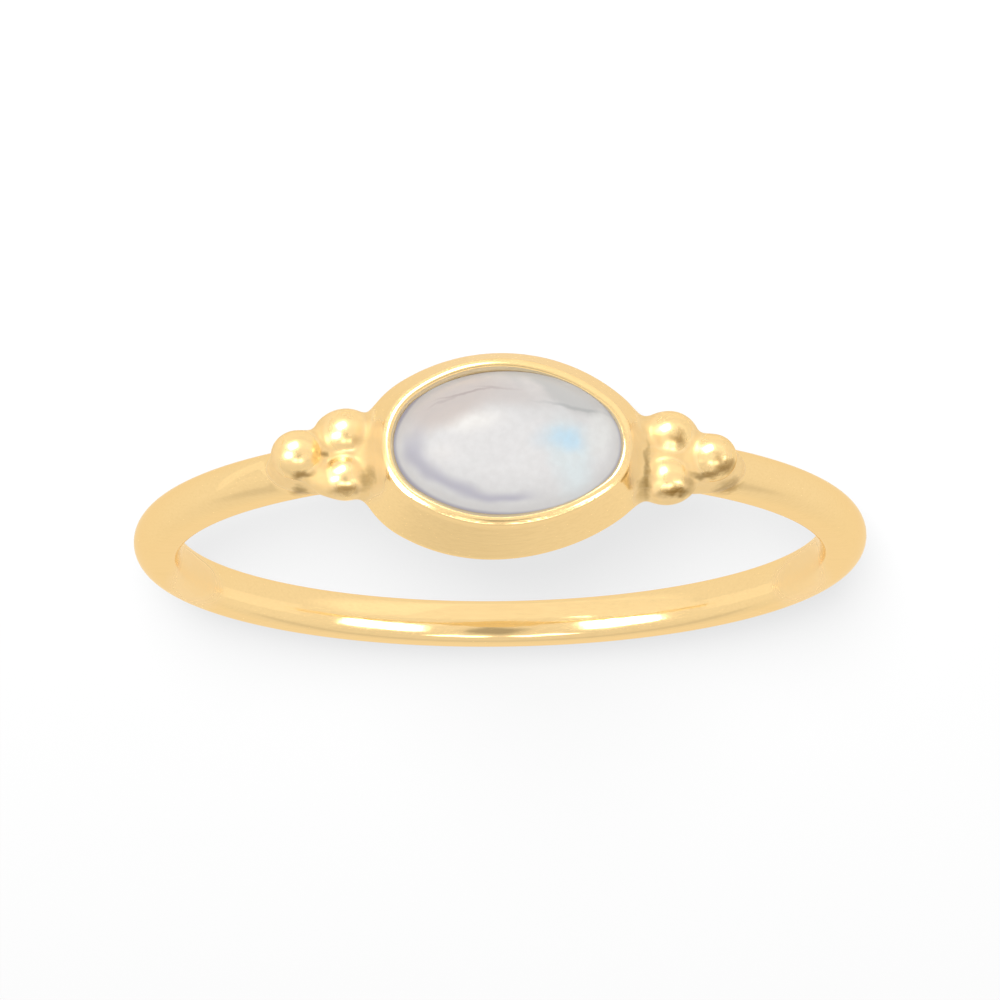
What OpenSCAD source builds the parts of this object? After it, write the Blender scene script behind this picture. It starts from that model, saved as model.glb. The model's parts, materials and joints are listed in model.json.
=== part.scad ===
// A moonstone ring, lying on its side the way it comes to rest on a table.
// It props itself on the edge of its bezel and on the far side of its band, with the stone facing -Y.
// The origin is on the table, below the middle of the ring.

/* [Band] */
// Inside diameter of the band
finger_d = 16.5; // [14:0.1:22]
// Thickness of the band's D-shaped wire, outwards from the finger
wire_t = 1.21; // [1.15:0.01:1.6]
// Width of the wire, along the finger
wire_w = 1.17; // [1:0.01:1.25]
// Radius of the wire's crowned face on the finger's side
face_r = 1.1; // [0.9:0.05:3]
// Radius of the rounded edges of that face
edge_r = 0.25; // [0.15:0.01:0.35]

/* [Stone] */
// Length of the stone, along the band
stone_l = 6.02; // [5.9:0.01:6.1]
// Width of the stone, across the band
stone_w = 3.9; // [3.8:0.01:3.98]
// Height of the dome above the girdle
dome_h = 1.9; // [1.8:0.05:2.2]
// Height of the straight girdle
girdle_h = 0.19; // [0.1:0.01:0.3]
// Clearance between the stone and the metal
stone_gap = 0.04; // [0.02:0.01:0.05]

/* [Bezel] */
// Length of the opening inside the lip
opening_l = 5.64; // [5.5:0.01:5.7]
// Radius of the wider end of the opening
wide_end_r = 1.42; // [1.35:0.01:1.5]
// Radius of the narrower end of the opening
narrow_end_r = 1.24; // [1.15:0.01:1.34]
// Radius of the long sides of the opening
side_r = 3.86; // [3.8:0.01:4]
// Width of the rolled lip
lip_w = 0.23; // [0.18:0.01:0.28]
// How far the lip stands over the crease outside it
lip_rise = 0.07; // [0.03:0.01:0.1]
// How far the foot of the flared wall stands out from the opening
foot_out = 0.82; // [0.6:0.01:0.95]
// Radius of the rounded foot
foot_r = 0.15; // [0.1:0.01:0.2]
// Height of the bezel, from its back to the top of its lip
bezel_h = 1.58; // [1.5:0.01:1.65]
// Thickness of the closed back
back_t = 0.45; // [0.3:0.01:0.5]
// Clearance between the finger and the closed back
back_clear = 0.17; // [0.1:0.01:0.3]
// Turn of the bezel and its granules across the band, in degrees, from soldering by hand
head_turn = 0.6; // [0:0.1:1.5]

/* [Granules] */
// Diameter of a granule
granule_d = 1.2; // [1:0.01:1.3]
// Distance of each pair of granules from the middle of the bezel, along the band
pair_x = 3.98; // [3.9:0.01:4.1]
// Distance of each of a pair from the middle of the band, across it
pair_y = 0.587; // [0.5:0.001:0.7]
// Distance of the single outer granules from the middle of the bezel, along the band
single_x = 5.13; // [5:0.01:5.3]
// Height of the granules' centres above the finger, at the bezel
granule_n = 0.27; // [0.2:0.01:0.4]

/* [Hidden] */
$fn = 128;
gold = [0.95, 0.80, 0.52];
milky = [0.90, 0.91, 0.93];

// The wire's outside is a half round of radius wire_r, whose centre runs on a circle of radius band_r
finger_r = finger_d / 2;
wire_r = wire_w / 2;
band_r = finger_r + wire_t - wire_r;

// Heights in the bezel's own frame, where z is the distance from the ring's centre towards the stone
back_z = finger_r + back_clear;
foot_z = back_z + foot_r;
seat_z = back_z + back_t;
lip_top_z = back_z + bezel_h;
lip_r = lip_w / 2;
lip_z = lip_top_z - lip_r;
crease_z = lip_top_z - lip_rise;
stone_z = seat_z + stone_gap;
girdle_z = stone_z + girdle_h;

// The opening is an oval of four arcs: two end arcs on the x axis, and two side arcs that are tangent to them
wide_x = opening_l / 2 - wide_end_r;
narrow_x = narrow_end_r - opening_l / 2;
span = wide_x - narrow_x;
to_wide = side_r - wide_end_r;
to_narrow = side_r - narrow_end_r;
side_x = wide_x - (to_wide^2 - to_narrow^2 + span^2) / (2 * span);
side_y = sqrt(to_wide^2 - (wide_x - side_x)^2);
wide_angle = atan2(side_y, wide_x - side_x);
narrow_angle = atan2(side_y, narrow_x - side_x);
half_w = side_r - side_y;

// The profile of the bezel's wall, as distances out from the opening and heights
wall_inside = -0.3;
wall_under_lip = 0.5;
crease_out = lip_w + 0.02;
foot_x = foot_out - foot_r;
to_crease = [crease_out - foot_x, crease_z - foot_z];
tangent_angle = atan2(to_crease.y, to_crease.x) - acos(foot_r / norm(to_crease));
// Where a straight side meets an arc, its corner lies this far inside the arc, so that the two overlap
corner_tuck = 0.004;
corner_r = foot_r - corner_tuck;

// Centres of the arcs of the wire's section, and half the width of its face
face_x = finger_r + face_r;
edge_y = wire_r - edge_r;
edge_x = face_x - sqrt((face_r - edge_r)^2 - edge_y^2);
face_y = face_r * edge_y / (face_r - edge_r);

// The wire is cut away above the seat as far out as this, which is inside the wall
seat_out = 0.35;

// At rest the ring leans by rest_tilt, on the rounded foot of the bezel and the wire opposite
foot_half_w = half_w + foot_x;
foot_span = band_r + foot_z;
rest_tilt = atan2(foot_half_w, foot_span) - asin((wire_r - foot_r) / norm([foot_half_w, foot_span]));
centre_z = band_r * sin(rest_tilt) + wire_r;
back_y = band_r * cos(rest_tilt) + wire_r;
front_y = girdle_z * cos(rest_tilt) + norm([dome_h * cos(rest_tilt), stone_w / 2 * sin(rest_tilt)]);
centre_y = (front_y - back_y) / 2;

// A solid with the outline of the opening grown by out, from z = 0 up to h
module oval(out, h) {
  intersection() {
    translate([side_x, side_y, 0]) cylinder(r = side_r + out, h = h);
    translate([side_x, -side_y, 0]) cylinder(r = side_r + out, h = h);
    translate([side_x + (side_r + out) * cos(narrow_angle), -side_r, 0])
      cube([(side_r + out) * (cos(wide_angle) - cos(narrow_angle)), 2 * side_r, h]);
  }
  translate([wide_x, 0, 0]) cylinder(r = wide_end_r + out, h = h);
  translate([narrow_x, 0, 0]) cylinder(r = narrow_end_r + out, h = h);
}

// One arc of the sweep below
module wall_arc(x, y, r, from, to) {
  translate([x, y, 0]) rotate([0, 0, from]) rotate_extrude(angle = to - from) translate([r, 0]) children();
}

// Sweeps a profile round the opening, where x = 0 of the profile is the opening's edge
module round_opening() {
  wall_arc(wide_x, 0, wide_end_r, -wide_angle, wide_angle) children();
  wall_arc(side_x, -side_y, side_r, wide_angle, narrow_angle) children();
  wall_arc(narrow_x, 0, narrow_end_r, narrow_angle, 360 - narrow_angle) children();
  wall_arc(side_x, side_y, side_r, 360 - narrow_angle, 360 - wide_angle) children();
}

// The flared wall with its rounded foot, and the lip rolled over the stone
module wall_profile() {
  polygon([
    [wall_inside, back_z],
    [foot_x, back_z],
    [foot_x + corner_r * cos(tangent_angle), foot_z + corner_r * sin(tangent_angle)],
    [crease_out, crease_z],
    [lip_r, lip_z],
    [0, lip_z],
    [0, crease_z - wall_under_lip],
    [wall_inside, crease_z - wall_under_lip]
  ]);
  translate([foot_x, foot_z]) circle(r = foot_r);
  translate([lip_r, lip_z]) circle(r = lip_r);
}

// The stone, grown by out on every side
module stone_form(out) {
  translate([0, 0, stone_z - out])
    scale([stone_l / 2 + out, stone_w / 2 + out, girdle_h + out]) cylinder(r = 1, h = 1);
  intersection() {
    translate([0, 0, girdle_z]) scale([stone_l / 2 + out, stone_w / 2 + out, dome_h + out]) sphere(r = 1);
    translate([-stone_l, -stone_w, girdle_z]) cube([2 * stone_l, 2 * stone_w, 2 * dome_h]);
  }
}

// The oval cup that holds the stone
module bezel() {
  difference() {
    union() {
      round_opening() wall_profile();
      translate([0, 0, back_z]) oval(0, back_t);
    }
    stone_form(stone_gap);
  }
}

// The wire's section: a half round outside, and a flatter face with rounded edges on the finger's side
module wire_section() {
  translate([band_r, 0]) circle(r = wire_r);
  translate([edge_x, corner_tuck - wire_r]) square([band_r - edge_x, wire_w - 2 * corner_tuck]);
  for (side = [-1, 1]) translate([edge_x, side * edge_y]) circle(r = edge_r);
  intersection() {
    translate([face_x, 0]) circle(r = face_r);
    translate([finger_r - edge_r, corner_tuck - face_y]) square([wire_t, 2 * (face_y - corner_tuck)]);
  }
}

// The band, which runs on under the stone's seat
module band() {
  difference() {
    rotate([90, 0, 0]) rotate_extrude() wire_section();
    rotate([0, 0, -head_turn]) translate([0, 0, seat_z]) oval(seat_out, bezel_h);
  }
}

module granule(x, y) {
  translate([x, y, finger_r + granule_n]) sphere(d = granule_d);
}

// Three granules at each end of the bezel
module granules() {
  for (side = [-1, 1]) {
    granule(side * pair_x, pair_y);
    granule(side * pair_x, -pair_y);
    granule(side * single_x, 0);
  }
}

// Lays the bezel's own frame on the table
module at_rest() {
  translate([0, centre_y, centre_z]) rotate([90 - rest_tilt, 0, 0]) children();
}

module ring_mount() {
  color(gold) at_rest() {
    band();
    rotate([0, 0, -head_turn]) {
      bezel();
      granules();
    }
  }
}

module moonstone() {
  color(milky) at_rest() rotate([0, 0, -head_turn]) stone_form(0);
}

ring_mount();
moonstone();
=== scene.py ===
"""A moonstone ring lying on its side: the soldered gold mount and the polished stone."""
import json
import math

import bpy
import numpy as np
from mathutils import Matrix, Vector


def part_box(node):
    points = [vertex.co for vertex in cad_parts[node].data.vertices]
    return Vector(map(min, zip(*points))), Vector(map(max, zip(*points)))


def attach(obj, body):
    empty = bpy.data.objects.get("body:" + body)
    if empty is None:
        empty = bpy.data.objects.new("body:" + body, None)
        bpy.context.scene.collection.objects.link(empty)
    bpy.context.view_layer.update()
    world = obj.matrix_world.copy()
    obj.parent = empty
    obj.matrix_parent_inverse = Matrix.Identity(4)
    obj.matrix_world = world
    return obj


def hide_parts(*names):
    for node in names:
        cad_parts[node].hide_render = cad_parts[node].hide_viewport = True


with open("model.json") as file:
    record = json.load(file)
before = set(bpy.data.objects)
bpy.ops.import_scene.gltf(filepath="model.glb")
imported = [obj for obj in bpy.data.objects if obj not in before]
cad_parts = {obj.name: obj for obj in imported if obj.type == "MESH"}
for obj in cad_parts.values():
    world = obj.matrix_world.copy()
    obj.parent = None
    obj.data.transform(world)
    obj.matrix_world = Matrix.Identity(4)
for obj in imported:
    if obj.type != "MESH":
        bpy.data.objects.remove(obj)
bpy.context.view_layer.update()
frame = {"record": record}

MM = 0.001

# Sizes in millimetres, in the ring's own frame: x along the stone, y across the band, and z from the ring's
# centre towards the stone. The finger hole gives the band's size and how far the ring leans at rest.
hole = frame["record"]["mounts"][0]
FINGER_R = hole["dims"]["r_mm"]
WIRE_R = hole["dims"]["length_mm"] / 2
WIRE_T = 1.21
BAND_R = FINGER_R + WIRE_T - WIRE_R
REST_TILT = math.atan2(hole["axis"][1], hole["axis"][2])
CENTRE_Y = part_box("ring_mount")[1].y / MM - BAND_R * math.cos(REST_TILT) - WIRE_R
CENTRE_Z = BAND_R * math.sin(REST_TILT) + WIRE_R
HEAD_TURN = math.radians(0.6)

# The wire's outside is a half round, and its face on the finger's side is crowned, with rounded edges
FACE_R = 1.1
EDGE_R = 0.25
EDGE_Y = WIRE_R - EDGE_R
FACE_CENTRE = FINGER_R + FACE_R
EDGE_CENTRE = FACE_CENTRE - math.sqrt((FACE_R - EDGE_R) ** 2 - EDGE_Y**2)

# The opening over the stone is an oval of four arcs
OPENING_L = 5.64
WIDE_END_R = 1.42
NARROW_END_R = 1.24
SIDE_R = 3.86
WIDE_X = OPENING_L / 2 - WIDE_END_R
NARROW_X = NARROW_END_R - OPENING_L / 2
SPAN = WIDE_X - NARROW_X
SIDE_X = WIDE_X - ((SIDE_R - WIDE_END_R) ** 2 - (SIDE_R - NARROW_END_R) ** 2 + SPAN**2) / (2 * SPAN)
SIDE_Y = math.sqrt((SIDE_R - WIDE_END_R) ** 2 - (WIDE_X - SIDE_X) ** 2)
WIDE_ANGLE = math.atan2(SIDE_Y, WIDE_X - SIDE_X)
NARROW_ANGLE = math.atan2(SIDE_Y, NARROW_X - SIDE_X)

# The bezel's wall, as distances out from the opening and heights
BACK_Z = FINGER_R + 0.17
SEAT_Z = BACK_Z + 0.45
LIP_R = 0.115
LIP_Z = BACK_Z + 1.58 - LIP_R
CREASE = (0.25, BACK_Z + 1.51)
FOOT_R = 0.15
FOOT_X = 0.67
FOOT_Z = BACK_Z + FOOT_R
WALL_INSIDE = -0.3
WALL_UNDER_LIP = 0.5

STONE_GAP = 0.04
STONE_HALF = (3.01, 1.95)
STONE_Z = SEAT_Z + STONE_GAP
GIRDLE_Z = STONE_Z + 0.19
DOME_H = 1.894

# The bezel is bent by hand, so its rim dips towards its ends, and its opening and its foot bulge in low waves
# round it: how far out at the cosine and at the sine of each number of waves
RIM_DIP = 0.2
OPENING_WAVES = {0: (0.015, 0), 1: (0.036, 0.01), 2: (-0.016, 0.001), 3: (-0.013, 0.004)}
FOOT_WAVES = {0: (-0.006, 0), 1: (0.05, -0.018), 2: (0.033, 0.037), 3: (0.009, -0.006)}

# Granules: place along and across the band, and radius
GRANULE_Z = FINGER_R + 0.27
GRANULES = [
    (3.98, 0.56, 0.54), (3.96, -0.53, 0.6), (5.15, -0.01, 0.6),
    (-3.96, 0.57, 0.56), (-4.05, -0.52, 0.6), (-5.1, 0.0, 0.58),
]

# Solder rounds the corners where the pieces meet. It lies in a pool under each three granules, and in a skirt
# round each granule: place along and across the band, and half size along and across it.
BALL_SOLDER = 0.26
BAND_SOLDER = 0.3
BEZEL_SOLDER = 0.34
SKIRT_SOLDER = 0.15
LIP_CREASE = 0.13
POOL_X = 4.6
POOL_Z = 7.75
POOL_HALF = (1.3, 0.68, 0.62)
POOL_CLEAR = 0.12
SKIRT_H = 0.42
# A point of the surface this far off the bare pieces is all solder
SOLDER_FULL = 0.1
SKIRTS = [
    (4.05, 0.65, 0.87, 0.44), (4.0, -0.54, 0.79, 0.63), (5.24, -0.02, 0.58, 0.53),
    (-3.89, 0.57, 0.83, 0.63), (-3.93, -0.47, 0.83, 0.67), (-4.96, 0.0, 0.57, 0.47),
]


def to_world(points):
    """Points of the ring's own frame in millimetres, in the row's frame in metres."""
    x, y, z = np.asarray(points, float).T
    c, s = math.cos(REST_TILT), math.sin(REST_TILT)
    return MM * np.stack([x, CENTRE_Y + s * y - c * z, CENTRE_Z + c * y + s * z], -1)


def ring_centre():
    """The centre of the band, in the row's frame."""
    return Vector(to_world(np.zeros((1, 3)))[0])


def directions_to_world(vectors):
    """Directions of the ring's own frame, in the row's frame."""
    return (to_world(vectors) - to_world(np.zeros((1, 3)))) / MM


def to_head(x, y):
    """Ring frame to the bezel's frame, which is turned a little across the band."""
    c, s = math.cos(HEAD_TURN), math.sin(HEAD_TURN)
    return c * x - s * y, s * x + c * y


def from_head(x, y):
    """The bezel's frame to the ring's."""
    c, s = math.cos(HEAD_TURN), math.sin(HEAD_TURN)
    return c * x + s * y, c * y - s * x


def dip(x):
    """How far the rim and the stone lie lower, at a place along the bezel."""
    return RIM_DIP * (x / (OPENING_L / 2)) ** 2


def waves(x, y, table):
    """A hand-made unevenness, from the direction round the bezel."""
    angle = np.arctan2(y, x)
    return sum(c * np.cos(n * angle) + s * np.sin(n * angle) for n, (c, s) in table.items())


def smooth_min(a, b, k):
    """The smaller distance, with the corner between the two rounded by about k."""
    h = np.clip(0.5 + 0.5 * (b - a) / k, 0, 1)
    return b + (a - b) * h - k * h * (1 - h)


def opening_distance(x, y):
    """Distance out from the opening's edge, in plan."""
    y = np.abs(y)
    angle = np.arctan2(y + SIDE_Y, x - SIDE_X)
    wide = np.hypot(x - WIDE_X, y) - WIDE_END_R
    narrow = np.hypot(x - NARROW_X, y) - NARROW_END_R
    side = np.hypot(x - SIDE_X, y + SIDE_Y) - SIDE_R
    return np.where(angle < WIDE_ANGLE, wide, np.where(angle > NARROW_ANGLE, narrow, side))


def half_plane(u, v, start, end):
    """Distance beyond the line from start to end, on its right-hand side."""
    du, dv = end[0] - start[0], end[1] - start[1]
    return ((u - start[0]) * dv - (v - start[1]) * du) / np.hypot(du, dv)


def wall_distance(out, z, foot_x):
    """The bezel's wall: a flared face on a rounded foot, and the lip rolled over at its top."""
    run, rise = CREASE[0] - foot_x, CREASE[1] - FOOT_Z
    tangent = np.arctan2(rise, run) - np.arccos(FOOT_R / np.hypot(run, rise))
    foot_corner = (foot_x + FOOT_R * np.cos(tangent), FOOT_Z + FOOT_R * np.sin(tangent))
    face = half_plane(out, z, foot_corner, CREASE)
    heel = half_plane(out, z, (foot_x, BACK_Z), foot_corner)
    shoulder = half_plane(out, z, CREASE, (LIP_R, LIP_Z))
    lower = np.maximum.reduce([face, heel, BACK_Z - z, z - (CREASE[1] - WALL_UNDER_LIP), WALL_INSIDE - out])
    upper = np.maximum.reduce([face, heel, BACK_Z - z, shoulder, -out])
    foot = np.hypot(out - foot_x, z - FOOT_Z) - FOOT_R
    lip = np.hypot(out - LIP_R, z - LIP_Z) - LIP_R
    return smooth_min(np.minimum(np.minimum(lower, upper), foot), lip, LIP_CREASE)


def band_distance(x, y, z):
    """The D-shaped wire, bent round the finger."""
    away, y = np.hypot(x, z), np.abs(y)
    outside = np.hypot(away - BAND_R, y) - WIRE_R
    face = np.hypot(away - FACE_CENTRE, y) - FACE_R
    edge = np.hypot(away - EDGE_CENTRE, y - EDGE_Y) - EDGE_R
    flatter = y * (FACE_CENTRE - EDGE_CENTRE) < (FACE_CENTRE - away) * EDGE_Y
    inside = np.where(flatter, face, np.where(away > EDGE_CENTRE, y - WIRE_R, edge))
    return np.where(away > BAND_R, outside, inside)


def stone_distance(x, y, z, grow):
    """Roughly the distance out from the stone, grown on every side."""
    a, b, h = STONE_HALF[0] + grow, STONE_HALF[1] + grow, DOME_H + grow
    dome = np.maximum(z - GIRDLE_Z, 0) / h
    form = (np.sqrt((x / a) ** 2 + (y / b) ** 2 + dome**2) - 1) * b
    return np.maximum(form, STONE_Z - grow - z)


def bezel_distance(hx, hy, rim_z):
    """The bezel's wall and its closed back, before the stone is cut out."""
    out = opening_distance(hx, hy) - waves(hx, hy, OPENING_WAVES)
    back = np.maximum.reduce([out, BACK_Z - rim_z, rim_z - SEAT_Z])
    return np.minimum(wall_distance(out, rim_z, FOOT_X + waves(hx, hy, FOOT_WAVES)), back)


def granule_distances(hx, hy, z):
    """Distances to the six granules."""
    return [np.sqrt((hx - x) ** 2 + (hy - y) ** 2 + (z - GRANULE_Z) ** 2) - r for x, y, r in GRANULES]


def ellipsoid_distance(u, v, w, halves):
    """Roughly the distance to an ellipsoid."""
    a, b, c = halves
    return (np.sqrt((u / a) ** 2 + (v / b) ** 2 + (w / c) ** 2) - 1) * min(halves)


def mount_distance(x, y, z):
    """Roughly the signed distance to the gold mount: band, bezel and granules soldered into one."""
    hx, hy = to_head(x, y)
    rim_z = z + dip(hx)
    balls = None
    for ball, (sx, sy, along, across) in zip(granule_distances(hx, hy, z), SKIRTS):
        skirt = ellipsoid_distance(hx - sx, hy - sy, z - GRANULE_Z, (along, across, SKIRT_H))
        ball = smooth_min(skirt, ball, SKIRT_SOLDER)
        balls = ball if balls is None else smooth_min(balls, ball, BALL_SOLDER)
    pool = ellipsoid_distance(np.abs(hx) - POOL_X, hy, z - POOL_Z, POOL_HALF)
    pool = np.maximum(pool, FINGER_R + POOL_CLEAR - np.hypot(x, z))
    metal = smooth_min(smooth_min(band_distance(x, y, z), pool, BAND_SOLDER), balls, BAND_SOLDER)
    metal = smooth_min(metal, bezel_distance(hx, hy, rim_z), BEZEL_SOLDER)
    return np.maximum(metal, -stone_distance(hx, hy, rim_z, STONE_GAP))


def solder_depth(x, y, z):
    """How far a point of the surface lies off the bare pieces, in solder."""
    hx, hy = to_head(x, y)
    pieces = granule_distances(hx, hy, z) + [band_distance(x, y, z), bezel_distance(hx, hy, z + dip(hx))]
    return np.minimum.reduce(pieces)


def throat(x, y, z):
    """How far a point lies inside the opening, below the middle of the lip."""
    hx, hy = to_head(x, y)
    out = opening_distance(hx, hy) - waves(hx, hy, OPENING_WAVES)
    return np.minimum.reduce([(LIP_Z + 0.03 - z - dip(hx)) / 0.06, (0.06 - out) / 0.04, z - BACK_Z])


def height_off_band(x, y, z):
    """How far a point of the surface lies off the band and the bezel, as the granules do."""
    hx, hy = to_head(x, y)
    return np.minimum(band_distance(x, y, z), bezel_distance(hx, hy, z + dip(hx)))


def gradient(field, points, step=1e-3):
    """The field's slope at each point, by small steps."""
    slopes = []
    for axis in range(3):
        shift = np.zeros(3)
        shift[axis] = step
        slopes.append((field(*(points + shift).T) - field(*(points - shift).T)) / (2 * step))
    return np.stack(slopes, -1)


def onto_surface(field, points, rounds):
    """Moves the points to the field's zero surface, along its slope."""
    for _ in range(rounds):
        slope = gradient(field, points)
        size = np.maximum((slope**2).sum(1), 0.05)
        points = points - (np.clip(field(*points.T), -0.05, 0.05) / size)[:, None] * slope
    return points


def ring_grid():
    """Angles round the ring, places across it and distances from its centre, finer near the bezel."""
    head_angle = 0.72
    fine, coarse = 0.05, 0.4
    head = np.linspace(-head_angle, head_angle, int(2 * head_angle * BAND_R / fine) + 1)
    rest = 2 * math.pi - 2 * head_angle
    back = np.linspace(head_angle, head_angle + rest, int(rest * BAND_R / coarse) + 1)[1:-1]
    # These two have the fine step too, and reach just past the bezel and its solder
    across = np.linspace(-2.8, 2.8, 112)
    away = np.linspace(8.17, 10.72, 51)
    return np.concatenate([head, back]), across, away


def surface_net(field):
    """A closed mesh of quads on the field's zero surface, on a grid that runs round the ring."""
    angles, across, away = ring_grid()
    sine, cosine = np.sin(angles)[:, None, None], np.cos(angles)[:, None, None]
    shape = (len(angles), len(across), len(away))
    x = np.broadcast_to(sine * away[None, None, :], shape)
    z = np.broadcast_to(cosine * away[None, None, :], shape)
    y = np.broadcast_to(across[None, :, None], shape)
    value = field(x, y, z)
    inside = value < 0
    count = shape[0]
    cells = np.zeros((count, shape[1] - 1, shape[2] - 1), np.int8)
    corner = [(i, j, k) for i in (0, 1) for j in (0, 1) for k in (0, 1)]

    def at(array, i, j, k):
        rolled = np.roll(array, -i, axis=0)
        return rolled[:, j:shape[1] - 1 + j, k:shape[2] - 1 + k]

    for offsets in corner:
        cells += at(inside, *offsets)
    active = (cells > 0) & (cells < 8)
    index = np.full(cells.shape, -1)
    index[active] = np.arange(active.sum())
    a, b, c = np.nonzero(active)
    place = np.zeros((len(a), 3))
    weight = np.zeros(len(a))
    for axis in range(3):
        for start in corner:
            if start[axis]:
                continue
            end = tuple(1 if n == axis else start[n] for n in range(3))
            v0 = value[(a + start[0]) % count, b + start[1], c + start[2]]
            v1 = value[(a + end[0]) % count, b + end[1], c + end[2]]
            crosses = (v0 < 0) != (v1 < 0)
            t = np.where(crosses, v0 / np.where(crosses, v0 - v1, 1), 0)
            p = np.tile(np.array(start, float), (len(a), 1))
            p[:, axis] = t
            place += p * crosses[:, None]
            weight += crosses
    place /= weight[:, None]
    wrapped = np.concatenate([angles, [angles[0] + 2 * math.pi]])
    angle = wrapped[a] + place[:, 0] * (wrapped[a + 1] - wrapped[a])
    py = across[b] + place[:, 1] * (across[1] - across[0])
    r = away[c] + place[:, 2] * (away[1] - away[0])
    points = np.stack([np.sin(angle) * r, py, np.cos(angle) * r], -1)

    quads = []
    for axis in range(3):
        changes = inside != np.roll(inside, -1, axis=axis)
        if axis:
            changes[(slice(None),) * axis + (-1,)] = False
        i, j, k = np.nonzero(changes)
        others = [n for n in range(3) if n != axis]
        here = np.stack([i, j, k], -1)
        keep = np.ones(len(here), bool)
        for n in others:
            if n:
                keep &= (here[:, n] > 0) & (here[:, n] < shape[n] - 1)
        here = here[keep]
        around = []
        for du, dv in ((0, 0), (1, 0), (1, 1), (0, 1)):
            cell = here.copy()
            cell[:, others[0]] -= du
            cell[:, others[1]] -= dv
            cell[:, 0] %= count
            around.append(index[tuple(cell.T)])
        quads.append(np.stack(around, -1))
    return points, np.concatenate(quads)


def relax(points, quads, field, rounds):
    """Evens out the quads, and keeps them on the surface."""
    count = len(points)
    ends = np.concatenate([quads[:, [n, (n + 1) % 4]] for n in range(4)])
    for _ in range(rounds):
        total = np.zeros((count, 3))
        for axis in range(3):
            total[:, axis] = np.bincount(ends[:, 0], points[ends[:, 1], axis], count)
            total[:, axis] += np.bincount(ends[:, 1], points[ends[:, 0], axis], count)
        size = np.bincount(ends[:, 0], minlength=count) + np.bincount(ends[:, 1], minlength=count)
        middle = total / size[:, None]
        slope = gradient(field, points)
        normal = slope / np.linalg.norm(slope, axis=1)[:, None]
        move = middle - points
        points = points + 0.5 * (move - (move * normal).sum(1)[:, None] * normal)
        points = onto_surface(field, points, 1)
    return points


def refine(points, quads, chosen):
    """Splits the chosen quads in four, and gives their neighbours the new points on the shared edges."""
    count = len(points)
    following = np.roll(quads, -1, axis=1)
    edge = np.minimum(quads, following) * count + np.maximum(quads, following)
    split = np.unique(edge[chosen])
    shared = np.isin(edge, split)
    middle = np.where(shared, count + np.searchsorted(split, edge), -1)
    centre = count + len(split) + np.arange(chosen.sum())
    faces = quads[~shared.any(1)].tolist()
    beside = shared.any(1) & ~chosen
    for quad, extra in zip(quads[beside].tolist(), middle[beside].tolist()):
        faces.append([corner for pair in zip(quad, extra) for corner in pair if corner >= 0])
    for n in range(4):
        part = [quads[chosen, n], middle[chosen, n], centre, middle[chosen, n - 1]]
        faces += np.stack(part, -1).tolist()
    added = [(points[split // count] + points[split % count]) / 2, points[quads[chosen]].mean(1)]
    return np.concatenate([points, *added]), faces


def unit_normals(points):
    """The mount's normals, over a width that evens out the corners left sharp."""
    slope = gradient(mount_distance, points, 0.025)
    return slope / np.linalg.norm(slope, axis=1)[:, None]


def point_attribute(piece, name, values):
    """Gives each point of a piece a value from 0 to 1, which its material reads."""
    attribute = piece.data.attributes.new(name, "FLOAT", "POINT")
    attribute.data.foreach_set("value", np.clip(values, 0, 1).astype(np.float32))


def mesh_object(name, points, faces):
    """A smooth mesh from points of the ring's own frame."""
    mesh = bpy.data.meshes.new(name)
    mesh.from_pydata(to_world(points).tolist(), [], faces)
    mesh.shade_smooth()
    piece = bpy.data.objects.new(name, mesh)
    bpy.context.scene.collection.objects.link(piece)
    return piece


def gold_mount():
    """The band, the bezel and the granules as one mesh, with where its solder, granules and throat are."""
    points, quads = surface_net(mount_distance)
    points = onto_surface(mount_distance, points, 3)
    points = relax(points, quads, mount_distance, 3)
    normals = unit_normals(points)
    faces = points[quads]
    facing = np.cross(faces[:, 2] - faces[:, 0], faces[:, 3] - faces[:, 1])
    inward = (facing * normals[quads].sum(1)).sum(1) < 0
    quads[inward] = quads[inward][:, ::-1]

    # Quads that bend by more than this are split, so that the lip and the seams are round
    bend = math.cos(math.radians(20))
    corners = normals[quads]
    likeness = [(corners[:, i] * corners[:, j]).sum(1) for i in range(4) for j in range(i)]
    points, faces = refine(points, quads, np.minimum.reduce(likeness) < bend)
    points = onto_surface(mount_distance, points, 3)
    piece = mesh_object("gold_mount", points, faces)
    piece.data.normals_split_custom_set_from_vertices(directions_to_world(unit_normals(points)).tolist())
    point_attribute(piece, "solder", solder_depth(*points.T) / SOLDER_FULL)
    point_attribute(piece, "granule", height_off_band(*points.T) / SOLDER_FULL)
    point_attribute(piece, "throat", throat(*points.T))
    return piece


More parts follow.
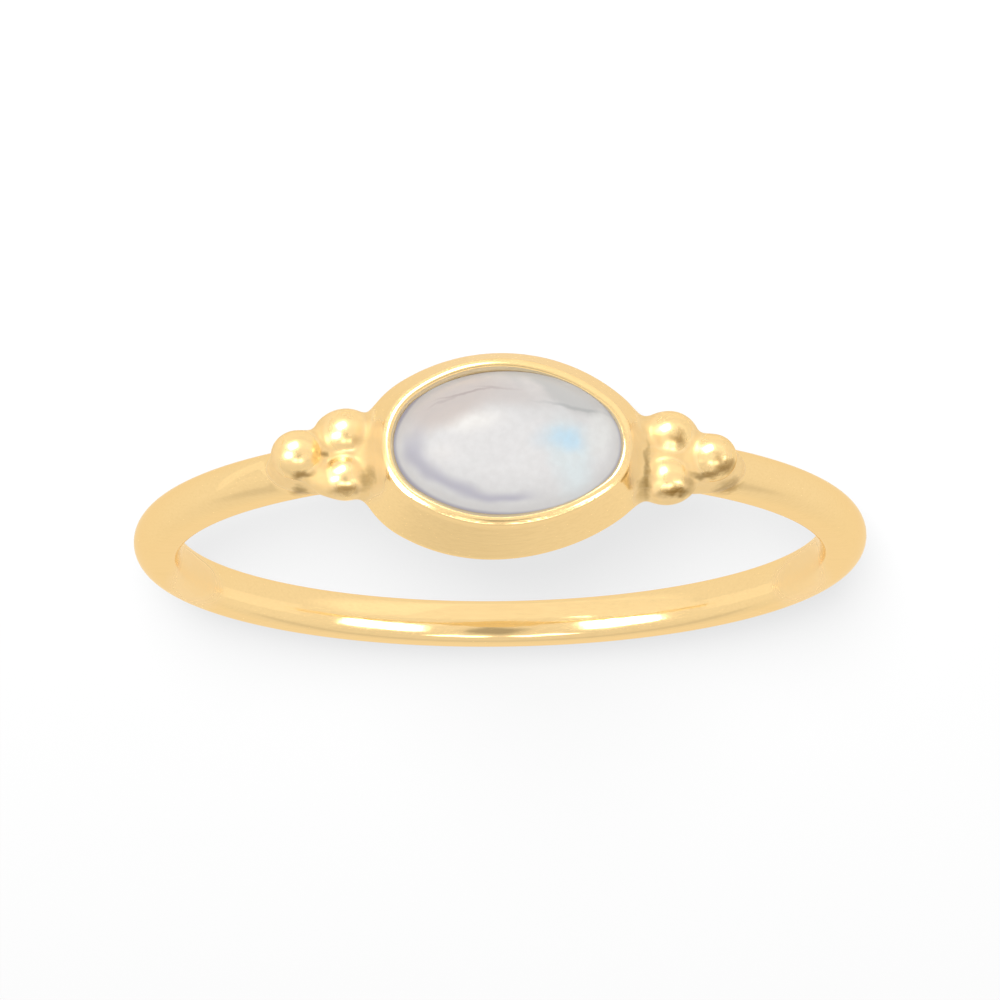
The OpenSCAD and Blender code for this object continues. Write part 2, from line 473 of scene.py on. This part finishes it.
def moonstone():
    """The cabochon: a dome of rings of points, a straight girdle and a flat back."""
    around, up = 192, 72
    turn = np.linspace(0, 2 * math.pi, around, endpoint=False)
    rise = np.linspace(0, math.pi / 2, up + 1)[1:]
    edge = 0.06
    a, b = STONE_HALF
    # Each ring of points has its share of the full outline and its height
    rings = [(math.sin(t), GIRDLE_Z + DOME_H * math.cos(t)) for t in rise]
    rings += [(1, STONE_Z + edge), (1 - edge / a, STONE_Z), (0.8, STONE_Z)]
    points = [(0, 0, GIRDLE_Z + DOME_H)]
    for share, height in rings:
        points += [(a * share * math.cos(t), b * share * math.sin(t), height) for t in turn]
    last = len(points)
    points.append((0, 0, STONE_Z))
    faces = [(0, 1 + n, 1 + (n + 1) % around) for n in range(around)]
    for ring in range(len(rings) - 1):
        low, high = 1 + ring * around, 1 + (ring + 1) * around
        faces += [(low + n, high + n, high + (n + 1) % around, low + (n + 1) % around) for n in range(around)]
    low = 1 + (len(rings) - 1) * around
    faces += [(low + n, last, low + (n + 1) % around) for n in range(around)]
    x, y, z = np.array(points, float).T
    return mesh_object("moonstone_cabochon", np.stack([*from_head(x, y), z - dip(x)], -1), faces)


def node(tree, kind, inputs=None, **settings):
    """Adds a node, and sets or links its inputs by name or number."""
    made = tree.nodes.new(kind)
    for key, value in settings.items():
        setattr(made, key, value)
    for key, value in (inputs or {}).items():
        if isinstance(value, bpy.types.NodeSocket):
            tree.links.new(value, made.inputs[key])
        else:
            made.inputs[key].default_value = value
    return made


def new_material(name):
    """A material, its node tree and its shader."""
    material = bpy.data.materials.new(name)
    material.use_nodes = True
    return material, material.node_tree, material.node_tree.nodes["Principled BSDF"]


def maths(tree, operation, *values):
    """A sum or another step with numbers."""
    return node(tree, "ShaderNodeMath", dict(enumerate(values)), operation=operation).outputs[0]


def vector_maths(tree, operation, *values, output=0):
    """A sum or another step with vectors."""
    made = node(tree, "ShaderNodeVectorMath", dict(enumerate(values)), operation=operation)
    return made.outputs[output]


def ring_place(tree):
    """The shaded point in the ring's own frame, in millimetres."""
    place = node(tree, "ShaderNodeTexCoord").outputs["Object"]
    place = vector_maths(tree, "SUBTRACT", place, ring_centre())
    spot = node(tree, "ShaderNodeCombineXYZ")
    for n, axis in enumerate(directions_to_world(np.eye(3)) / MM):
        along = vector_maths(tree, "DOT_PRODUCT", place, Vector(axis), output="Value")
        tree.links.new(along, spot.inputs[n])
    return spot.outputs[0]


def map_range(tree, value, start, end, low, high):
    """Takes value from low to high in a smooth step, as it goes from start to end."""
    return node(tree, "ShaderNodeMapRange", {
        "Value": value, "From Min": start, "From Max": end, "To Min": low, "To Max": high,
    }, interpolation_type="SMOOTHSTEP").outputs["Result"]


def noise(tree, place, scale, detail=3.0, seed=0.0):
    """Soft noise from 0 to 1."""
    return node(tree, "ShaderNodeTexNoise", {
        "Vector": place, "Scale": scale, "Detail": detail, "W": seed,
    }, noise_dimensions="4D").outputs["Fac"]


def warped(tree, place, scale, detail, amount):
    """A place moved about by noise, so that what is painted there has an uneven outline."""
    shift = node(tree, "ShaderNodeTexNoise", {"Vector": place, "Scale": scale, "Detail": detail})
    shift = vector_maths(tree, "ADD", shift.outputs["Color"], (-0.5, -0.5, -0.5))
    return vector_maths(tree, "MULTIPLY_ADD", shift, amount, place)


def mix(tree, share, first, second):
    """A colour between the first and the second."""
    return node(tree, "ShaderNodeMix", {0: share, 6: first, 7: second}, data_type="RGBA").outputs[2]


def patch(tree, place, middle, halves, turn, edge):
    """A soft oval patch: 1 inside it and 0 outside."""
    moved = node(tree, "ShaderNodeMapping", {
        "Vector": place, "Location": middle, "Rotation": (0, 0, math.radians(turn)), "Scale": halves,
    }, vector_type="TEXTURE").outputs[0]
    reach = vector_maths(tree, "LENGTH", moved, output="Value")
    return map_range(tree, reach, 1 - edge, 1 + edge, 1, 0)


# Painted shade and painted dark reflections beside the granules and in the seams, which see little but each
# other: the middle along and across the band and away from the finger, the half sizes, the turn in degrees
# and the strength
SEAM_SHADE_SPOTS = [
    ((5.06, 0.50, 8.8), (0.26, 0.07, 0.4), 8, 0.8),
    ((5.17, 0.61, 7.54), (0.24, 0.08, 0.4), 5, 0.8),
    ((3.98, 0.93, 8.9), (0.34, 0.09, 0.4), 2, 0.7),
    ((3.45, 0.64, 8.9), (0.16, 0.24, 0.4), 0, 0.6),
    ((3.80, -0.28, 8.9), (0.26, 0.12, 0.4), 10, 0.35),
    ((4.51, -0.05, 8.7), (0.07, 0.06, 0.4), 0, 0.7),
    ((-4.22, -0.26, 9.0), (0.20, 0.11, 0.4), -20, 0.7),
    ((-4.30, -0.42, 9.0), (0.08, 0.12, 0.4), 0, 0.4),
    ((-4.85, 0.56, 8.8), (0.30, 0.07, 0.4), 0, 0.8),
    ((-5.38, 0.40, 8.8), (0.32, 0.09, 0.4), 32, 0.8),
    ((-5.20, 0.25, 8.9), (0.10, 0.16, 0.4), 0, 0.5),
    ((-4.16, 1.02, 8.9), (0.40, 0.09, 0.4), 6, 0.9),
    ((-4.50, 0.80, 8.9), (0.12, 0.16, 0.4), 30, 0.5),
    ((-3.43, 0.47, 8.8), (0.06, 0.60, 0.5), 0, 0.7),
    ((-3.38, 0.85, 8.8), (0.14, 0.25, 0.5), -15, 0.6),
    ((-5.50, 0.53, 7.5), (0.34, 0.08, 0.5), 20, 0.7),
]


# Colours of the metal
PALE_GOLD = (0.96, 0.82, 0.55, 1)
DEEPER_GOLD = (0.945, 0.795, 0.52, 1)
GRAIN_COLOUR = (0.82, 0.65, 0.39, 1)
DEEPER_SIDE_COLOUR = (0.955, 0.685, 0.325, 1)
PALE_SOLDER = (0.93, 0.69, 0.345, 1)
DARK_SOLDER = (0.78, 0.55, 0.25, 1)
# Painted shade for the dark spots in the seams
SEAM_SHADE_COLOUR = (0.24, 0.145, 0.035, 1)
# Painted shade for the throat under the lip, round the stone
THROAT_SHADE_COLOUR = (0.44, 0.30, 0.12, 1)
# Depth of the marks of the polishing, in millimetres
MARK_DEPTH = 0.004


def gold_material():
    """Polished pale gold, matt where solder has run, with faint marks of the polishing, and painted shade in
    the seams and in the throat under the lip.
    """
    material, tree, shader = new_material("pale_gold")
    place = ring_place(tree)
    solder, granule, inside = (node(tree, "ShaderNodeAttribute", attribute_name=name).outputs["Fac"]
                               for name in ("solder", "granule", "throat"))

    # The wall of the bezel beside the granules is as matt as the solder
    matt = map_range(tree, solder, 0.12, 0.9, 0, 1)
    for side in (-1, 1):
        wall = patch(tree, place, (side * 3.36, 0.2, 9.3), (0.42, 1.0, 1.0), 0, 0.3)
        matt = maths(tree, "MAXIMUM", matt, wall)
    matt = maths(tree, "MAXIMUM", matt, inside)
    tint = mix(tree, noise(tree, place, 0.7), PALE_GOLD, DEEPER_GOLD)
    run = mix(tree, noise(tree, place, 2.5, 4.0, 15.0), PALE_SOLDER, DARK_SOLDER)
    tint = mix(tree, matt, tint, run)
    # Painted shade: dark spots in the seams and beside the granules, with uneven outlines
    spot = warped(tree, place, 4.0, 4.0, (0.3, 0.25, 0.2))
    for middle, halves, turn, strength in SEAM_SHADE_SPOTS:
        cover = maths(tree, "MULTIPLY", patch(tree, spot, middle, halves, turn, 0.75), strength)
        tint = mix(tree, cover, tint, SEAM_SHADE_COLOUR)
    # Painted shade: the throat under the lip is dark, as the gap round the stone lies in shade
    tint = mix(tree, inside, tint, THROAT_SHADE_COLOUR)

    # The finger's side of the band, where it is widest, is matt and a deeper gold
    for side in (-1, 1):
        side_patch = patch(tree, place, (side * 7.9, 0.2, -2.2), (0.75, 0.6, 2.3), 0, 0.4)
        tint = mix(tree, side_patch, tint, DEEPER_SIDE_COLOUR)
        matt = maths(tree, "MAXIMUM", matt, side_patch)
    grain = vector_maths(tree, "MULTIPLY", place, (0.5, 9.0, 9.0))
    grain = map_range(tree, noise(tree, grain, 2.0, 4.0, 17.0), 0.35, 0.75, 0, 0.22)
    tint = mix(tree, grain, tint, GRAIN_COLOUR)
    tree.links.new(tint, shader.inputs["Base Color"])

    # The bezel is filed by hand, and the band is polished brighter
    depth = node(tree, "ShaderNodeSeparateXYZ", {0: place}).outputs["Z"]
    filed = map_range(tree, depth, 7.5, 8.5, 0, 0.05)
    polish = map_range(tree, noise(tree, place, 2.2, seed=3.0), 0.35, 0.7, 0.08, 0.14)
    rough = maths(tree, "MULTIPLY_ADD", matt, 0.3, maths(tree, "ADD", filed, polish))
    rough = maths(tree, "MULTIPLY_ADD", granule, 0.1, rough)
    tree.links.new(rough, shader.inputs["Roughness"])
    metal = maths(tree, "MULTIPLY_ADD", matt, -0.8, 1.0)
    tree.links.new(metal, shader.inputs["Metallic"])
    shader.inputs["Specular IOR Level"].default_value = 0.3
    shader.inputs["Specular Tint"].default_value = (0.975, 0.90, 0.76, 1)
    streaks = vector_maths(tree, "MULTIPLY", place, (0.25, 4.0, 4.0))
    marks = maths(tree, "MULTIPLY_ADD", noise(tree, streaks, 2.5, seed=5.0), 0.35,
                  noise(tree, place, 1.3, seed=7.0))
    bump = node(tree, "ShaderNodeBump", {"Strength": 1.0, "Distance": MARK_DEPTH * MM, "Height": marks})
    tree.links.new(bump.outputs[0], shader.inputs["Normal"])
    return material


# The stone's clouds and fractures in plan, with painted light in its middle and its blue flashes painted in
# as a sheen, painted in this order, with top and left as in the picture. Each has its middle along and across
# the stone, its half sizes, its turn in degrees, its soft edge, its strength and its colour.
STONE_CLOUDS_AND_PAINTED_LIGHT = [
    # the milky body, and painted light in its middle, where the dome faces the light
    ((0.15, 0.35), (2.3, 0.9), -3, 0.4, 0.85, (0.81, 0.80, 0.80)),
    ((1.0, -0.25), (0.6, 0.2), 8, 0.8, 0.7, (0.86, 0.855, 0.84)),
    # the pinkish cloud at the top, and its fractures
    ((1.35, -0.95), (1.3, 0.6), 26, 0.45, 0.85, (0.645, 0.57, 0.535)),
    ((0.1, -1.05), (1.0, 0.40), -4, 0.55, 0.65, (0.66, 0.60, 0.575)),
    ((1.0, -1.08), (0.6, 0.035), 10, 0.8, 0.7, (0.46, 0.38, 0.37)),
    ((0.3, -1.20), (0.45, 0.03), -6, 0.8, 0.5, (0.50, 0.43, 0.42)),
    ((1.5, -0.90), (0.4, 0.03), 22, 0.8, 0.5, (0.50, 0.43, 0.42)),
    # the grey wedge at the top right, with a paler corner and a dark line below it
    ((-1.25, -1.15), (1.35, 0.34), -24, 0.3, 0.62, (0.50, 0.50, 0.49)),
    ((-0.60, -1.25), (0.40, 0.18), -38, 0.6, 0.8, (0.75, 0.71, 0.69)),
    ((-1.85, -0.72), (0.85, 0.05), -3, 0.8, 0.75, (0.44, 0.45, 0.45)),
    # the blue flash, a painted sheen, with its pale tail
    ((-1.5, 0.55), (0.5, 0.85), 14, 0.6, 0.7, (0.72, 0.81, 0.83)),
    ((-1.35, 0.12), (0.60, 0.30), 8, 0.8, 0.7, (0.60, 0.74, 0.83)),
    ((-1.45, 0.15), (0.30, 0.24), -8, 0.9, 0.9, (0.55, 0.76, 0.90)),
    ((-2.25, -0.15), (0.36, 0.6), -24, 0.5, 0.7, (0.79, 0.79, 0.77)),
]


# Colours of the stone
STONE_DARKER = (0.64, 0.63, 0.63, 1)
STONE_PALER = (0.76, 0.75, 0.74, 1)
PAINTED_ARC_COLOUR = (0.455, 0.44, 0.52, 1)
RIM_SHADE_COLOUR = (0.48, 0.46, 0.45, 1)
MOTTLE_COLOUR = (0.55, 0.53, 0.52, 1)
LIP_SHADE_COLOUR = (0.32, 0.30, 0.37, 1)


def moonstone_material():
    """Milky and polished, with clouds and fractures, and painted light and shade: a lighter middle, a darker
    rim, a lavender arc near one long edge and a blue flash.
    """
    material, tree, shader = new_material("moonstone")
    place = ring_place(tree)
    flat = vector_maths(tree, "MULTIPLY", place, (1, 1, 0))
    plan = vector_maths(tree, "MULTIPLY", warped(tree, place, 1.6, 4.0, (0.45, 0.3, 0)), (1, 1, 0))

    # The share of the stone's outline that a point has, from 0 in the middle to 1 at the edge
    share = vector_maths(tree, "MULTIPLY", flat, (1 / STONE_HALF[0], 1 / STONE_HALF[1], 0))
    share = vector_maths(tree, "LENGTH", share, output="Value")
    colour = mix(tree, noise(tree, place, 1.1, 5.0), STONE_DARKER, STONE_PALER)
    for middle, halves, turn, edge, strength, paint in STONE_CLOUDS_AND_PAINTED_LIGHT:
        cover = patch(tree, plan, (*middle, 0), (*halves, 1), turn, edge)
        colour = mix(tree, maths(tree, "MULTIPLY", cover, strength), colour, (*paint, 1))

    # The arc is painted: the dark back seen through the stone's edge, in lavender. It lies between two ovals,
    # on the picture's lower left
    uneven = maths(tree, "ADD", noise(tree, place, 0.9, 1.0, 9.0), -0.5)
    wavy = maths(tree, "MULTIPLY_ADD", uneven, 0.22, share)
    arc = map_range(tree, wavy, 0.67, 0.78, 0, 1)
    beyond = map_range(tree, wavy, 0.78, 0.85, 1, 0)
    side = patch(tree, plan, (1.35, 1.45, 0), (2.2, 1.25, 1), -28, 0.3)
    for cover in (beyond, side, 0.8):
        arc = maths(tree, "MULTIPLY", arc, cover)
    colour = mix(tree, arc, colour, PAINTED_ARC_COLOUR)
    # Painted shade, darker towards the stone's edge, where its dome turns from the light
    colour = mix(tree, map_range(tree, share, 0.78, 0.92, 0, 0.32), colour, RIM_SHADE_COLOUR)
    mottle = map_range(tree, noise(tree, place, 5.0, 5.0, 11.0), 0.3, 0.7, 0, 0.16)
    colour = mix(tree, mottle, colour, MOTTLE_COLOUR)

    # The stone is dark where it goes under the lip, which shows more of it on the floor's side
    across = node(tree, "ShaderNodeSeparateXYZ", {0: place}).outputs["Y"]
    lip_shade = maths(tree, "SUBTRACT", share, map_range(tree, across, -1.8, -0.7, 0.065, 0))
    lip_shade = map_range(tree, lip_shade, 0.90, 0.935, 0, 0.8)
    colour = mix(tree, lip_shade, colour, LIP_SHADE_COLOUR)
    tree.links.new(colour, shader.inputs["Base Color"])
    shader.inputs["Roughness"].default_value = 0.3
    shader.inputs["IOR"].default_value = 1.52
    shader.inputs["Specular IOR Level"].default_value = 0.15
    return material


mount = gold_mount()
stone = moonstone()
mount.data.materials.append(gold_material())
stone.data.materials.append(moonstone_material())
for piece, cad_node, slot in ((mount, "ring_mount", "gold"), (stone, "moonstone", "moonstone")):
    piece.visible_diffuse = False
    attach(piece, "root")
    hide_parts(cad_node)


def add_floor():
    """White paper. It is seen and shadowed, and left out of the metal's reflections."""
    half = 1.5
    mesh = bpy.data.meshes.new("floor")
    corners = [(-half, -half, 0), (half, -half, 0), (half, half, 0), (-half, half, 0)]
    mesh.from_pydata(corners, [], [(0, 1, 2, 3)])
    floor = bpy.data.objects.new("floor", mesh)
    bpy.context.scene.collection.objects.link(floor)
    material, tree, shader = new_material("floor_white")
    shader.inputs["Base Color"].default_value = (0.79, 0.79, 0.79, 1)
    shader.inputs["Roughness"].default_value = 0.9
    shader.inputs["Specular IOR Level"].default_value = 0
    mesh.materials.append(material)
    floor.visible_glossy = False
    return floor


# The camera looks from the photo's side of the ring, which is a little above the plane of the band.
# It is rolled half a turn, because the ring's lower side in the photo is its upper side at rest.
# The lens is given in widths of the picture, and a pixel in millimetres at the ring's centre.
LENS = 7.2
PIXEL = 0.02584829
VIEW_DISTANCE = LENS * 1000 * PIXEL
VIEW_TILT = math.radians(14.5)
VIEW_AZIMUTH = math.radians(1.3)
VIEW_ROLL = math.radians(-0.64)
# Where the ring's centre lies in the picture, right and up from the middle, in pixels
CENTRE_SHIFT = (0.17, -42.9)


def add_camera():
    """The camera, which stands where the photo's angle to the ring puts it."""
    lean = Matrix.Rotation(-REST_TILT, 3, "X") @ Matrix.Rotation(VIEW_AZIMUTH, 3, "Z")
    back = lean @ Vector((0, -math.cos(VIEW_TILT), math.sin(VIEW_TILT)))
    up = lean @ Vector((0, -math.sin(VIEW_TILT), -math.cos(VIEW_TILT)))
    right = up.cross(back)
    c, s = math.cos(VIEW_ROLL), math.sin(VIEW_ROLL)
    right, up = right * c + up * s, up * c - right * s
    place = ring_centre() + back * VIEW_DISTANCE * MM
    aim = ring_centre() - (right * CENTRE_SHIFT[0] + up * CENTRE_SHIFT[1]) * PIXEL * MM
    back = (place - aim).normalized()
    right = up.cross(back).normalized()
    up = back.cross(right)
    camera = bpy.data.objects.new("camera", bpy.data.cameras.new("camera"))
    bpy.context.scene.collection.objects.link(camera)
    camera.matrix_world = Matrix.Translation(place) @ Matrix((right, up, back)).transposed().to_4x4()
    camera.data.sensor_width = 36
    camera.data.lens = LENS * 36
    camera.data.clip_start = 0.01
    bpy.context.scene.camera = camera
    return camera


# The studio as the ring reflects it. Each softbox or dark card has its middle at an angle away from the
# camera, in a clock direction of the picture (right 0, up 90, left 180, down 270), then its half size across
# and along that direction, the width of its soft edge, all in degrees, and its brightness.
STUDIO = [
    # away, clock, half across, half along, edge, brightness
    (60, 90, 60, 24, 24, 1.2),
    (95, 270, 50, 12, 16, 0.8),
    (4, 300, 9, 9, 7, 0.5),
    (52, 118, 18, 14, 6, 9.0),
    (44, 180, 10, 14, 6, 9.0),
    (43, 358, 8, 14, 6, 9.0),
    (30, 233, 4, 7, 3, 4.0),
    (29, 254, 4, 7, 3, 4.0),
    (29, 288, 4, 7, 3, 4.0),
    (30, 306, 4, 7, 3, 4.0),
]
HORIZON_LIGHT = 1.0
ZENITH_LIGHT = 0.9
# Reflections see this warmer tent, and the paper and the stone's body see a white one
WARM = (0.985, 0.83, 0.59, 1)


def add_world(camera):
    """A light tent with softboxes and dark cards, which stand still in the row's frame."""
    world = bpy.data.worlds.new("studio")
    world.use_nodes = True
    tree = world.node_tree
    turn = camera.matrix_world.to_3x3()
    right, up, back = (turn @ Vector(axis) for axis in ((1, 0, 0), (0, 1, 0), (0, 0, 1)))
    way = node(tree, "ShaderNodeTexCoord").outputs["Generated"]
    height = vector_maths(tree, "DOT_PRODUCT", way, (0, 0, 1), output="Value")
    light = map_range(tree, height, 0.1, 0.95, HORIZON_LIGHT, ZENITH_LIGHT)
    for away, clock, across, along, edge, brightness in STUDIO:
        a, c = math.radians(away), math.radians(clock)
        out = right * math.cos(c) + up * math.sin(c)
        middle = back * math.cos(a) + out * math.sin(a)
        sideways = up * math.cos(c) - right * math.sin(c)
        outwards = out * math.cos(a) - back * math.sin(a)
        ahead = vector_maths(tree, "DOT_PRODUCT", way, middle, output="Value")
        cover = maths(tree, "GREATER_THAN", ahead, 0.0)
        for side, half in ((sideways, across), (outwards, along)):
            reach = vector_maths(tree, "DOT_PRODUCT", way, side, output="Value")
            angle = maths(tree, "ABSOLUTE", maths(tree, "ARCTAN2", reach, ahead))
            start, end = math.radians(half - edge / 2), math.radians(half + edge / 2)
            cover = maths(tree, "MULTIPLY", cover, map_range(tree, angle, start, end, 1, 0))
        light = node(tree, "ShaderNodeMix", {0: cover, 2: light, 3: brightness}).outputs[0]
    rays = node(tree, "ShaderNodeLightPath").outputs
    light = node(tree, "ShaderNodeMix", {0: rays["Is Glossy Ray"], 2: 1.0, 3: light}).outputs[0]
    tree.links.new(light, tree.nodes["Background"].inputs["Strength"])
    colour = mix(tree, rays["Is Glossy Ray"], (1, 1, 1, 1), WARM)
    tree.links.new(colour, tree.nodes["Background"].inputs["Color"])
    world.cycles.sampling_method = "NONE"
    bpy.context.scene.world = world


# Cards about as bright as the tent: the first hides the upper softbox from the far side of the band, and the
# second hides the right one from the granules. Each has its depth towards the camera, and its corners right
# and up in the picture, all in millimetres from the ring's centre.
CARD_LIGHT = 1.1
CARDS = {
    "far_side_card": (5.5, [(8, 5.6), (-6, 5.6), (-9.8, 3), (-16, -1), (-60, -1), (-60, 60), (8, 60)]),
    "granule_card": (13, [(-3.2, 0.9), (11.5, 0.9), (11.5, 3.7), (-3.2, 3.7)]),
}
# A third card stands inside the band, across the finger, and hides its two sides from each other, but nothing
# from the metal close to it. Corners are in the ring's own frame, and the reach is in millimetres.
INNER_REACH = 3.5
INNER_CARD = [(0, -1.2, -8.1), (0, 1.2, -8.1), (0, 1.2, -5.2), (0, -1.2, -5.2)]


def add_cards(camera):
    """Puts the cards up. They are seen in reflections alone."""
    turn = camera.matrix_world.to_3x3()
    cards = {name: [ring_centre() + turn @ Vector((x, y, depth)) * MM for x, y in corners]
             for name, (depth, corners) in CARDS.items()}
    cards["inner_card"] = [Vector(corner) for corner in to_world(INNER_CARD)]
    for name, corners in cards.items():
        mesh = bpy.data.meshes.new(name)
        mesh.from_pydata(corners, [], [tuple(range(len(corners)))])
        card = bpy.data.objects.new(name, mesh)
        bpy.context.scene.collection.objects.link(card)
        material, tree, shader = new_material(name)
        shader.inputs["Base Color"].default_value = (0, 0, 0, 1)
        shader.inputs["Specular IOR Level"].default_value = 0
        shader.inputs["Emission Color"].default_value = WARM
        shader.inputs["Emission Strength"].default_value = CARD_LIGHT
        if name == "inner_card":
            length = node(tree, "ShaderNodeLightPath").outputs["Ray Length"]
            far = maths(tree, "GREATER_THAN", length, INNER_REACH * MM)
            tree.links.new(far, shader.inputs["Alpha"])
        mesh.materials.append(material)
        card.visible_camera = False
        card.visible_diffuse = False
        card.visible_shadow = False
        card.visible_transmission = False


def add_key(floor):
    """The lamp that casts the soft shadow on the paper, close to the way the camera looks."""
    azimuth, elevation = math.radians(4.5), math.radians(13.5)
    distance, size, radiance = 0.6, 0.15, 80
    level = Vector((math.sin(azimuth), -math.cos(azimuth), 0))
    away = level * math.cos(elevation) + Vector((0, 0, math.sin(elevation)))
    lamp = bpy.data.lights.new("key", "AREA")
    lamp.shape = "DISK"
    lamp.size = size
    lamp.energy = radiance * math.pi * math.pi * (size / 2) ** 2
    key = bpy.data.objects.new("key", lamp)
    key.location = away * distance
    key.rotation_mode = "QUATERNION"
    key.rotation_quaternion = away.to_track_quat("Z", "Y")
    key.visible_glossy = False
    key.visible_camera = False
    bpy.context.scene.collection.objects.link(key)
    paper = bpy.data.collections.new("paper")
    paper.objects.link(floor)
    key.light_linking.receiver_collection = paper


floor = add_floor()
camera = add_camera()
add_world(camera)
add_cards(camera)
add_key(floor)
bpy.context.scene.view_settings.view_transform = "Standard"
